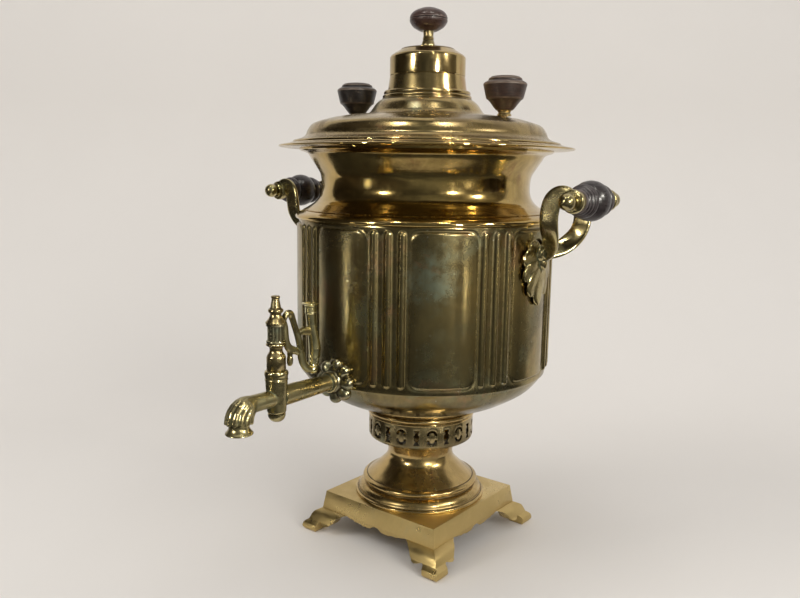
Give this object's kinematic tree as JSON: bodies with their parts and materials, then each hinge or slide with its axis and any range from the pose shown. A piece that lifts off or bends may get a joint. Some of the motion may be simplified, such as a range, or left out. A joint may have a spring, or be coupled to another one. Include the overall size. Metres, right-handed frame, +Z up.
{
  "type": "samovar",
  "caption": "Charcoal samovar with fluted body, square footed base, side handles, plug tap with a turning key, lift-off lid and chimney cap.",
  "frame": {"origin": "on the ground, under the vertical axis of the urn", "axes": "+Z up; the tap points along -Y and the handles stand along +X and -X"},
  "size_m": [0.3398, 0.3477, 0.46],
  "materials": {
    "sheet_brass": "polished, tarnished",
    "cast_brass": "satin, tarnished",
    "iron": "sooty",
    "dark_wood": "worn lacquer",
    "red_wood": "worn lacquer"
  },
  "bodies": {
    "urn": {"foot_front_right": "cast_brass", "foot_back_right": "cast_brass", "foot_back_left": "cast_brass", "foot_front_left": "cast_brass", "tray": "cast_brass", "pedestal": "sheet_brass", "gallery_ring": "sheet_brass", "neck_collar": "sheet_brass", "body_wall": "sheet_brass", "body_neck": "sheet_brass", "top_rim": "sheet_brass", "tank_floor": "sheet_brass", "fire_tube": "iron", "fire_grate": "iron", "chimney_sleeve": "sheet_brass", "handle_bracket_right": "cast_brass", "handle_bracket_left": "cast_brass", "handle_rod_right": "sheet_brass", "handle_rod_left": "sheet_brass", "handle_grip_right": "dark_wood", "handle_grip_left": "dark_wood", "grip_ferrules": "sheet_brass", "rod_washers": "sheet_brass", "ball_nuts": "sheet_brass", "bracket_rivets": "sheet_brass", "tap_rosette": "cast_brass", "tap_body": "cast_brass"},
    "tap_key": {"tap_plug": "cast_brass", "key_branch": "cast_brass", "key_grip": "cast_brass", "key_finial": "cast_brass", "plug_nut": "cast_brass"},
    "lid": {"lid_shell": "sheet_brass", "lid_stem_right": "sheet_brass", "lid_stem_left": "sheet_brass", "lid_knob_right": "red_wood", "lid_knob_left": "red_wood", "lid_nuts": "sheet_brass"},
    "cap": {"cap_shell": "sheet_brass", "cap_stem": "sheet_brass", "cap_knob": "red_wood", "cap_nut": "sheet_brass"}
  },
  "joints": [
    {"name": "tap_key_turn", "type": "hinge", "parent": "urn", "child": "tap_key", "pos_m": [0, -0.175, 0.161], "axis": [0, 0, 1], "continuous": true},
    {"name": "lid_lift", "type": "slide", "parent": "urn", "child": "lid", "axis": [0, 0, 1], "range_m": [0, 0.135]},
    {"name": "cap_lift", "type": "slide", "parent": "urn", "child": "cap", "axis": [0, 0, 1], "range_m": [0, 0.04]}
  ]
}
